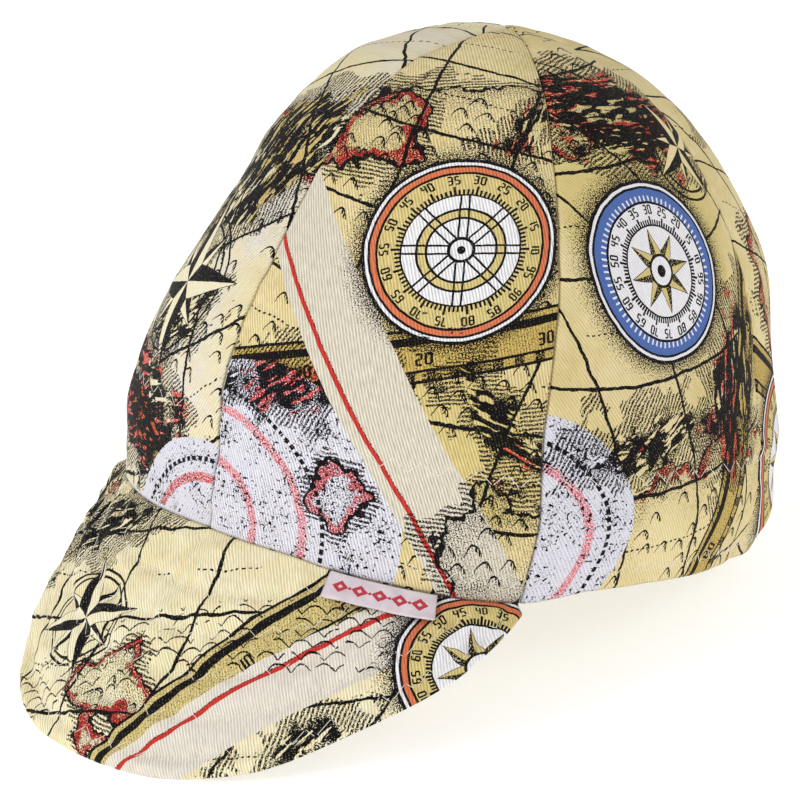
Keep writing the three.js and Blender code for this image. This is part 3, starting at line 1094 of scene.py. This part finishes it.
FREEHAND = ("graticule", "land", "shadow", "wash", "swell")
# Grain of the twill in degrees, how much painted shade darkens the valleys of its ribs, the two grounds,
# and the motifs in the order of their printing
DESIGNS = {
    "panel_front_left": (113, 0.8, "parchment", "parchment_pale", [
        ("wash", dict(x=20, y=40, radius=30, colour="ochre")),
        ("graticule", dict(x=-12, y=104, turn=-8, step=(30, 27))),
        ("land", dict(x=-22, y=128, radius=15, tint="red", seed=2)),
        ("land", dict(x=10, y=152, turn=200, seed=4)),
        ("shadow", dict(x=22, y=138, turn=60, radius=5, stretch=2, seed=6, tint="red")),
        ("frame_band", dict(x=0, y=62, turn=17, width=15, first=-24)),
        ("chalk", dict(x=-34, y=8, radius=46)),
        ("arcs", dict(x=-52, y=2, radii=(20, 36), colour="pink", beads=42)),
        ("land", dict(x=-8, y=24, radius=7, tint="pink", seed=7, hills=False, rough=18)),
        ("shadow", dict(x=-26, y=50, turn=14, radius=8, stretch=2.6, seed=3, tint="red")),
        ("band", dict(x=10, y=36, turn=-52, width=22, colour="cream", edge=-7)),
        ("dial", dict(x=12, y=96, radius=27, ring="orange", scale="ochre", turn=9)),
        ("shadow", dict(x=34, y=50, turn=-40, radius=7, stretch=2.4, seed=9, tint="red")),
        ("land", dict(x=40, y=12, radius=17, seed=5)),
    ]),
    "panel_side_left": (128, 0.4, "parchment", "parchment_pale", [
        ("wash", dict(x=0, y=110, radius=34, colour="ochre")),
        ("graticule", dict(x=6, y=30, turn=12, step=(29, 31), bend=0.003)),
        ("land", dict(x=0, y=36, turn=190, tint="red", seed=1, rough=26)),
        ("land", dict(x=8, y=132, turn=8, seed=6, tint="red")),
        ("shadow", dict(x=-8, y=138, turn=-20, radius=17, stretch=2.2, seed=4, tint="red")),
        ("frame_band", dict(x=30, y=40, turn=74, width=14)),
        ("shadow", dict(x=28, y=56, turn=70, radius=15, stretch=1.7, seed=2, tint="red")),
        ("chalk", dict(x=-52, y=18, radius=32)),
        ("arcs", dict(x=-58, y=14, radii=(24,), colour="pink", beads=30)),
        ("shadow", dict(x=-14, y=42, turn=10, radius=8, stretch=2.4, seed=7)),
        ("wind_star", dict(x=20, y=126, radius=17, turn=30, rings=(0.8, 0.95), light="parchment_pale")),
        ("dial", dict(x=-6, y=90, radius=26, ring="blue", kind="sun", width=4.4, turn=11)),
    ]),
    # This gore, the brim and the right side gore face the key light, so their grounds are painted sunlit:
    # painted light
    "panel_front_right": (60, 0.4, "sunlit", "linen", [
        ("graticule", dict(x=0, y=66, turn=24, step=(24, 30), bend=0.004)),
        ("land", dict(x=6, y=118, turn=160, tint="red", seed=3, rough=22)),
        ("shadow", dict(x=14, y=106, turn=60, radius=21, stretch=1.5, seed=5, tint="ochre_dark")),
        ("frame_band", dict(x=-24, y=40, turn=-30, width=12)),
        ("shadow", dict(x=14, y=56, turn=10, radius=12, stretch=1.4, seed=2, tint="sunlit")),
        ("wind_star", dict(x=10, y=64, radius=28, turn=12)),
        ("shadow", dict(x=4, y=26, turn=-10, radius=17, stretch=1.8, seed=8, tint="red")),
        ("chalk", dict(x=44, y=-6, radius=30)),
        ("arcs", dict(x=48, y=-10, radii=(24,), colour="red", beads=29)),
        ("band", dict(x=0, y=0, turn=0, width=3, colour="chalk")),
    ]),
    # Ground painted sunlit: painted light
    "brim": (128, 0.62, "sunlit", "painted_light_pale", [
        ("graticule", dict(x=-20, y=-6, turn=14, step=(31, 29), bend=0.003)),
        ("land", dict(x=-58, y=-18, turn=40, seed=2, rough=20)),
        ("shadow", dict(x=-40, y=-8, turn=20, radius=9, stretch=2, seed=6)),
        ("land", dict(x=0, y=-54, radius=13, seed=4, rough=18, tint="red")),
        ("shadow", dict(x=62, y=-42, turn=50, radius=6, stretch=2.2, seed=5)),
        ("frame_band", dict(x=34, y=-30, turn=64, width=16, colour="ochre")),
        ("wind_star", dict(x=-26, y=-36, radius=20, turn=20)),
        ("band", dict(x=58, y=-14, turn=58, width=18, colour="linen", edge=5)),
        ("swell", dict(x=76, y=2, turn=30, width=22)),
        ("dial", dict(x=92, y=2, radius=24, ring="orange", kind="sun", scale="ochre")),
        ("shadow", dict(x=-72, y=6, turn=70, radius=11, stretch=1.6, seed=3, tint="red")),
    ]),
    "panel_back_left": (70, 0.5, "parchment", "parchment_pale", [
        ("graticule", dict(x=0, y=20, turn=-14, step=(28, 30), bend=0.002)),
        ("land", dict(x=-14, y=84, radius=20, tint="red", seed=5)),
        ("shadow", dict(x=10, y=130, turn=-20, radius=9, stretch=2, seed=3, tint="red")),
        ("frame_band", dict(x=10, y=36, turn=-24, width=15)),
        ("chalk", dict(x=40, y=110, radius=34)),
        ("arcs", dict(x=44, y=112, radii=(18, 28), colour="pink", beads=33)),
        ("shadow", dict(x=20, y=60, turn=20, radius=11, stretch=1.8, seed=1)),
        ("dial", dict(x=-24, y=30, radius=25, ring="orange", scale="ochre", kind="sun")),
    ]),
    "panel_back_right": (110, 0.5, "parchment", "parchment_pale", [
        ("wash", dict(x=-10, y=90, radius=30, colour="ochre")),
        ("graticule", dict(x=0, y=60, turn=10, step=(27, 29), bend=0.003)),
        ("land", dict(x=0, y=46, turn=170, tint="red", seed=6, rough=24)),
        ("band", dict(x=20, y=80, turn=60, width=18, colour="cream", edge=6)),
        ("shadow", dict(x=-22, y=70, turn=80, radius=12, stretch=1.8, seed=4, tint="red")),
        ("wind_star", dict(x=-6, y=112, radius=26, turn=5)),
        ("frame_band", dict(x=8, y=12, turn=12, width=15)),
    ]),
    # Ground painted sunlit: painted light
    "panel_side_right": (140, 0.5, "sunlit", "painted_light_pale", [
        ("graticule", dict(x=10, y=50, turn=-10, step=(30, 26), bend=0.002)),
        ("land", dict(x=20, y=120, radius=15, tint="red", seed=8)),
        ("shadow", dict(x=-6, y=140, turn=40, radius=9, stretch=2, seed=2, tint="red")),
        ("chalk", dict(x=-30, y=20, radius=40)),
        ("arcs", dict(x=-48, y=10, radii=(26, 40), colour="pink", beads=45)),
        ("frame_band", dict(x=6, y=78, turn=-16, width=15)),
        ("shadow", dict(x=26, y=44, turn=10, radius=10, stretch=2.2, seed=6, tint="ochre")),
        ("dial", dict(x=-4, y=36, radius=26, ring="blue", width=4.4, turn=20)),
    ]),
}


def chart_material(name):
    node = name.removesuffix("_print")
    grain, contrast, ground, pale, design = DESIGNS[node]
    chart = Chart(name, 10 * (1 + list(DESIGNS).index(node)), ground, pale)
    for motif, settings in design:
        chart.place = chart.rough if motif in FREEHAND else chart.steady
        getattr(chart, motif)(**settings)
    return chart.printed(grain, contrast)


def twill_material(name):
    """Unprinted twill, a little uneven in colour."""
    twill = Cloth(name, roughness=0.9)
    twill.colour = twill.mix(twill.noise(14, detail=3), name, name + "_pale")
    twill.weave(PLAIN_GRAIN)
    return twill.finish()


def ribbon_material(name):
    """Satin ribbon with a woven row of lozenges."""
    satin = Cloth(name, roughness=0.42, sheen=0.3, specular=0.5)
    # Bright patches at random over the satin: painted sheen
    satin.colour = satin.mix(satin.noise(4, detail=3), "ribbon", "ribbon_pale")
    grain = satin.noise(0.3, detail=1)
    along, across = satin.local((TAG_TO - TAG_FROM) * half_length(0), -TAG_LENGTH / 2)
    fuzzy = along.every(LOZENGE_STEP) + abs(across) * 1.1 + (grain - 0.5) * 0.5
    dots = ((along + LOZENGE_STEP / 2).every(LOZENGE_STEP) + abs(across)) < 0.6
    lozenges = fuzzy.within(0.75, 2.3) | dots
    satin.fill(lozenges & (abs(along) < LOZENGE_ROW / 2), "ornament")
    satin.weave(0, pitch=0.3, depth=0.03, contrast=0.05)
    return satin.finish()


def thread_material(name):
    """Two-ply sewing thread, twisted along its length."""
    thread = Cloth(name, roughness=0.6)
    thread.colour = thread.mix(thread.noise(0.6, detail=2), "thread", "thread_pale")
    thread.weave(62, pitch=0.5, depth=0.05, contrast=0.2)
    return thread.finish()


def floor_material(name):
    paper = bpy.data.materials.new(name)
    paper.use_nodes = True
    shader = paper.node_tree.nodes["Principled BSDF"]
    shader.inputs["Roughness"].default_value = 1
    shader.inputs["Base Color"].default_value = (*[FLOOR_WHITE] * 3, 1)
    shader.inputs["Emission Color"].default_value = (1, 1, 1, 1)
    shader.inputs["Emission Strength"].default_value = FLOOR_GLOW
    return paper


FINISHES = {
    "reverse": twill_material,
    "sweatband": twill_material,
    "ribbon": ribbon_material,
    "thread": thread_material,
    "floor": floor_material,
}


def material(name):
    """A finish by its name, made when it is first asked for."""
    if name not in bpy.data.materials:
        FINISHES.get(name, chart_material)(name)
    return bpy.data.materials[name]


# Pieces
def made(piece, node, slot, **cut):
    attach(piece, BODY)
    if node:
        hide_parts(node)
    return piece


class CAP_OT_crown(bpy.types.Operator):
    """Sews the six gores of the crown"""
    bl_idname = "cap.crown"
    bl_label = "Crown"

    def execute(self, context):
        thickness = sizes().cloth / MM
        columns, rows = GORE_CELLS
        for number, node in enumerate(GORE_NAMES):
            climb, up = even_climbs((number + 0.5) / GORES, rows, crown_top())
            girth = 2 * np.array([half_length(at) for at in climb])[:, None]
            gap = CLOTH_GAP / 2 / girth
            share = number / GORES + gap + crowded(columns)[None] * (1 / GORES - 2 * gap)
            flat = np.stack([(share - (number + 0.5) / GORES) * girth, up[:, None] + 0 * share], -1)
            edge = np.minimum(
                np.minimum(share - share[:, :1], share[:, -1:] - share) * girth,
                np.minimum(up, up[-1] - up)[:, None],
            )
            piece = cloth(
                node + "_cloth", crown_points(share, climb, thickness / 2), plain_normals(share, climb),
                rounded(edge, thickness), flat, [material(node + "_print"), material("reverse")],
            )
            made(piece, node, "printed_twill", flat=cut_size(flat), area=cut_area(flat), held="stretched",
                 rests_on=[])
        return {"FINISHED"}


class CAP_OT_brim(bpy.types.Operator):
    """Quilts the brim"""
    bl_idname = "cap.brim"
    bl_label = "Brim"

    def execute(self, context):
        columns, rows = BRIM_CELLS
        across = np.repeat(np.linspace(-1, 1, columns + 1)[None], rows + 1, axis=0)
        out = np.repeat(1 - crowded(rows)[:, None], columns + 1, axis=1)
        length = brim_length(across)
        thickness = BRIM_THICKNESS + (BRIM_EDGE_THICKNESS - BRIM_THICKNESS) * out
        middle, normals = brim_points(across, out, thickness / 2), brim_normals(across, out)
        seam_half = half_length(0) * 2 * BRIM_SHARE
        side = (1 - np.abs(across)) * seam_half
        half = rounded(np.minimum((1 - out) * length, side), thickness)
        angle = math.radians(BRIM_FLAT_FAN)
        reach = seam_half / angle + out * length
        # The seam edge goes on up behind the crown's hem
        up = np.linspace(0, TUCK_HEIGHT, TUCK_ROWS)
        tuck = across[:TUCK_ROWS]
        depth = sizes().cloth / MM + BAND_GAP / 2
        middle = np.vstack([middle, crown_points(tuck * BRIM_SHARE, climb_at(up), depth)])
        normals = np.vstack([normals, plain_normals(tuck * BRIM_SHARE, climb_at(up))])
        edge = np.minimum((up[-1] - up)[:, None], side[:TUCK_ROWS])
        half = np.vstack([half, rounded(edge, TUCK_THICKNESS + 0 * tuck)])
        reach = np.vstack([reach, reach[-1:] - 1 - up[:, None]])
        across = np.vstack([across, tuck])
        flat = np.stack([reach * np.sin(angle * across), -reach * np.cos(angle * across)], -1)
        flat[..., 1] += seam_half / angle
        piece = cloth(
            "brim_quilt", middle, normals, half, flat,
            [material("brim_print"), material("brim_print")],
        )
        made(piece, "brim", "quilted_twill", flat=cut_size(flat), area=cut_area(flat), held="stretched",
             rests_on=[])
        return {"FINISHED"}


class CAP_OT_sweatband(bpy.types.Operator):
    """Lays the sweatband inside the rim"""
    bl_idname = "cap.sweatband"
    bl_label = "Sweatband"

    def execute(self, context):
        thickness = sizes().band / MM
        columns, rows = BAND_CELLS
        height = np.linspace(BAND_BOTTOM, BAND_TOP, rows + 1)
        climb = climb_at(height)
        share = np.repeat(np.linspace(0, 1, columns + 1)[None] + 0.5, rows + 1, axis=0)
        share[:, -1] = share[:, 0]
        walk = np.linspace(0, 1, columns + 1)[None] * 2 * half_length(0)
        flat = np.stack([walk + 0 * share, height[:, None] + 0 * share], -1)
        edge = np.minimum(height - height[0], height[-1] - height)[:, None] + 0 * share
        depth = sizes().cloth / MM + BAND_GAP + thickness / 2
        piece = cloth(
            "sweatband_cloth", crown_points(share, climb, depth), plain_normals(share, climb),
            rounded(edge, thickness), flat, [material("sweatband"), material("sweatband")],
        )
        made(piece, "sweatband", "band_twill", flat=cut_size(flat), held="stretched", rests_on=[])
        return {"FINISHED"}


class CAP_OT_tag(bpy.types.Operator):
    """Folds the ribbon tag in the brim seam"""
    bl_idname = "cap.tag"
    bl_label = "Tag"

    def execute(self, context):
        columns, rows = TAG_CELLS
        lift = math.radians(TAG_LIFT)
        run = TAG_LENGTH - TAG_FOLD - TAG_CLOTH / 2
        bend = math.pi * TAG_FOLD
        whole = 2 * run + bend
        walk = np.linspace(0, whole, rows + 1)
        turn = np.clip((walk - run) / TAG_FOLD, 0, math.pi)
        down = np.minimum(walk, run) + TAG_FOLD * np.sin(turn) - np.maximum(walk - run - bend, 0)
        off = TAG_FOLD * np.cos(turn)
        # The ribbon runs down its upper layer, round the fold and back up its lower one
        place = np.linspace(TAG_FROM, TAG_TO, columns + 1)[None] / BRIM_SHARE
        place = np.repeat(place, rows + 1, axis=0)
        seam = np.zeros_like(place)
        start = brim_points(place, seam)
        normal = brim_normals(place, seam)
        along = unit(brim_plain(place, seam + TAG_AIM) - brim_plain(place, seam))
        down_way = along * math.cos(lift) + normal * math.sin(lift)
        face = normal * math.cos(lift) - along * math.sin(lift)
        width = float(np.linalg.norm(start[0, -1] - start[0, 0]))
        x = np.linspace(0, width, columns + 1)[None]
        dent = TAG_DENT * layered("tag_dent", x + TAG_DENT_START, down[:, None])
        dent = dent * (down[:, None] / TAG_LENGTH)
        height = TAG_GAP + TAG_FOLD + TAG_CLOTH / 2 + off[:, None] + dent
        middle = start + along * TAG_GAP + down_way * down[:, None, None] + face * height[..., None]
        normals = down_way * np.sin(turn)[:, None, None] + face * np.cos(turn)[:, None, None]
        flat = np.stack([x + 0 * place, -walk[:, None] + 0 * place], -1)
        edge = np.minimum(np.minimum(x, width - x), np.minimum(walk, whole - walk)[:, None])
        # Rows run up a piece, so the walk down the ribbon is turned round
        middle, normals, flat, edge = (part[::-1] for part in (middle, normals, flat, edge))
        piece = cloth(
            "tag_ribbon", middle, normals, rounded(edge, TAG_CLOTH), flat,
            [material("ribbon"), material("ribbon")],
        )
        made(piece, "tag", "satin_ribbon", flat=cut_size(flat), held="folded", rests_on=["brim_quilt"])
        return {"FINISHED"}


class CAP_OT_stitches(bpy.types.Operator):
    """Sews the zigzag rows of white thread"""
    bl_idname = "cap.stitches"
    bl_label = "Stitches"

    def execute(self, context):
        # The leg of a zigzag, a short thread along x from 0 to 1, is modelled once and copied
        deselect_all()
        bpy.ops.mesh.primitive_cylinder_add(
            vertices=THREAD_SIDES, radius=1, depth=1, end_fill_type="NGON", location=(0.5, 0, 0),
            rotation=(0, math.radians(90), 0),
        )
        leg = bpy.context.object
        bpy.ops.object.transform_apply(location=True, rotation=True, scale=True)
        edit(leg)
        for cut in THREAD_CUTS:
            bpy.ops.mesh.select_all(action="SELECT")
            bpy.ops.mesh.bisect(plane_co=(cut, 0, 0), plane_no=(1, 0, 0))
        deselect_all()
        leg.data.materials.append(material("thread"))
        # The thread's flat cut is its surface unrolled: round it, and along a leg
        wrap = leg.data.uv_layers.active
        wrap.name = "cut"
        unrolled = np.empty(len(leg.data.loops) * 2)
        wrap.data.foreach_get("uv", unrolled)
        scale = (2 * math.pi * sizes().thread, 2 * sizes().brim_stitch)
        wrap.data.foreach_set("uv", (unrolled.reshape(-1, 2) * scale).ravel())
        for name, chains in self.rows().items():
            self.sew(name, leg, chains)
        bpy.data.objects.remove(leg)
        return {"FINISHED"}

    def zigzag(self, legs):
        """Height of the row's thread over its middle line at two steps to a leg, from -1 to 1."""
        return np.array([1, 0, -1, 0])[np.arange(2 * legs + 1) % 4]

    def rows(self):
        """Chains of points on the cloth that each piece's thread passes, three points to a leg."""
        size = sizes()
        thickness = size.cloth / MM
        high = size.stitch_height / MM
        outside, inside = [], []
        for row, length in ((CROWN_ROWS[0], size.crown_stitch), (CROWN_ROWS[1], size.rim_stitch)):
            girth = 2 * half_length(climb_at(row))
            legs = 2 * round(girth / (length / MM) / 2)
            share = np.linspace(0, 1, 2 * legs + 1)
            heights = row + high / 2 * self.zigzag(legs)
            for chain, depth, way in ((outside, 0, 1), (inside, thickness + BAND_GAP + size.band / MM, -1)):
                points = np.empty((2 * legs + 1, 3))
                normals = np.empty((2 * legs + 1, 3))
                for level in np.unique(heights):
                    at = heights == level
                    climb = [float(climb_at(level))]
                    points[at] = crown_points(share[at][None], climb, depth)[0]
                    normals[at] = plain_normals(share[at][None], climb)[0] * way
                chain.append((points, normals))
        brim = []
        for row in BRIM_ROWS:
            fine = np.linspace(-1, 1, BRIM_ROW_STEPS + 1)
            fine = fine[brim_length(fine) > row + high]
            walked = walked_along(brim_plain(fine[None], 1 - row / brim_length(fine)[None])[0])
            legs = round(walked[-1] / (size.brim_stitch / MM))
            across = np.interp(np.linspace(0, walked[-1], 2 * legs + 1), walked, fine)
            out = 1 - (row + high / 2 * self.zigzag(legs)) / brim_length(across)
            points = brim_points(across[None], out[None])[0]
            brim.append((points, brim_normals(across[None], out[None])[0]))
        return {"crown_stitches": outside, "sweatband_stitches": inside, "brim_stitches": brim}

    def sew(self, name, leg, chains):
        radius = sizes().thread / MM
        template = np.array([tuple(vertex.co) for vertex in leg.data.vertices])
        t = template[:, :1]
        lift = radius * (THREAD_LIFT - THREAD_DIVE * np.abs(2 * t - 1) ** THREAD_DIVE_SHARPNESS)
        pieces = []
        for points, normals in chains:
            for start in range(0, len(points) - 2, 2):
                a, b, c = points[start:start + 3]
                up = unit(normals[start:start + 3].mean(axis=0))
                side = unit(np.cross(up, c - a))
                line = a * (1 - t) * (1 - 2 * t) + 4 * b * t * (1 - t) + c * t * (2 * t - 1)
                places = line + up * (lift + radius * template[:, 2:]) + side * radius * template[:, 1:2]
                copy = leg.copy()
                copy.data = leg.data.copy()
                copy.data.vertices.foreach_set("co", (stand(places) * MM).ravel())
                bpy.context.collection.objects.link(copy)
                pieces.append(copy)
        made(joined(name, pieces), None, None)


class CAP_OT_stage(bpy.types.Operator):
    """Sets the floor, the soft lights and the camera"""
    bl_idname = "cap.stage"
    bl_label = "Stage"

    def execute(self, context):
        deselect_all()
        bpy.ops.mesh.primitive_plane_add(size=FLOOR_SIZE, location=(0, 0, 0))
        floor = context.object
        floor.name = "floor"
        floor.data.materials.append(material("floor"))
        world = bpy.data.worlds.new("studio")
        world.use_nodes = True
        sky = world.node_tree.nodes["Background"].inputs
        sky["Color"].default_value = (1, 1, 1, 1)
        sky["Strength"].default_value = WORLD_LIGHT
        context.scene.world = world
        for name, (*place, size, power) in LIGHTS.items():
            light = bpy.data.lights.new(name, "AREA")
            light.size = size
            light.energy = power
            lamp = bpy.data.objects.new(name, light)
            lamp.location = place
            towards = Vector(LIGHT_AIM) - Vector(place)
            lamp.rotation_euler = towards.to_track_quat("-Z", "Y").to_euler()
            context.collection.objects.link(lamp)
        view = context.scene.cap_camera
        turn = (
            Matrix.Rotation(view.azimuth, 3, "Z")
            @ Matrix.Rotation(math.pi / 2 - view.elevation, 3, "X")
            @ Matrix.Rotation(view.roll, 3, "Z")
        )
        camera = bpy.data.objects.new("camera", bpy.data.cameras.new("camera"))
        camera.data.lens = view.lens
        camera.data.sensor_width = SENSOR_WIDTH
        camera.data.clip_end = VIEW_END
        camera.location = Vector(view.aim) + turn @ Vector((0, 0, view.distance))
        camera.rotation_euler = turn.to_euler()
        context.collection.objects.link(camera)
        context.scene.camera = camera
        context.scene.view_settings.view_transform = "Standard"
        return {"FINISHED"}


class CAP_PT_sidebar(bpy.types.Panel):
    """Lists the steps that dress the cap"""
    bl_idname = "CAP_PT_sidebar"
    bl_label = "Soft Brim Cap"
    bl_space_type = "VIEW_3D"
    bl_region_type = "UI"
    bl_category = "Cap"

    def draw(self, context):
        for group in (context.scene.cap_sizes, context.scene.cap_colours, context.scene.cap_camera):
            for key in group.__annotations__:
                self.layout.prop(group, key)
        for operator in OPERATORS:
            self.layout.operator(operator.bl_idname)


OPERATORS = (CAP_OT_stage, CAP_OT_crown, CAP_OT_brim, CAP_OT_sweatband, CAP_OT_tag, CAP_OT_stitches)
CLASSES = (CapSizes, CapColours, CapCamera, *OPERATORS, CAP_PT_sidebar)


def register():
    for cls in CLASSES:
        bpy.utils.register_class(cls)
    bpy.types.Scene.cap_sizes = bpy.props.PointerProperty(type=CapSizes)
    bpy.types.Scene.cap_colours = bpy.props.PointerProperty(type=CapColours)
    bpy.types.Scene.cap_camera = bpy.props.PointerProperty(type=CapCamera)


def unregister():
    del bpy.types.Scene.cap_camera
    del bpy.types.Scene.cap_colours
    del bpy.types.Scene.cap_sizes
    for cls in reversed(CLASSES):
        bpy.utils.unregister_class(cls)


def main():
    register()
    bpy.ops.cap.stage()
    bpy.ops.cap.crown()
    bpy.ops.cap.brim()
    bpy.ops.cap.sweatband()
    bpy.ops.cap.tag()
    bpy.ops.cap.stitches()


if __name__ == "__main__":
    main()
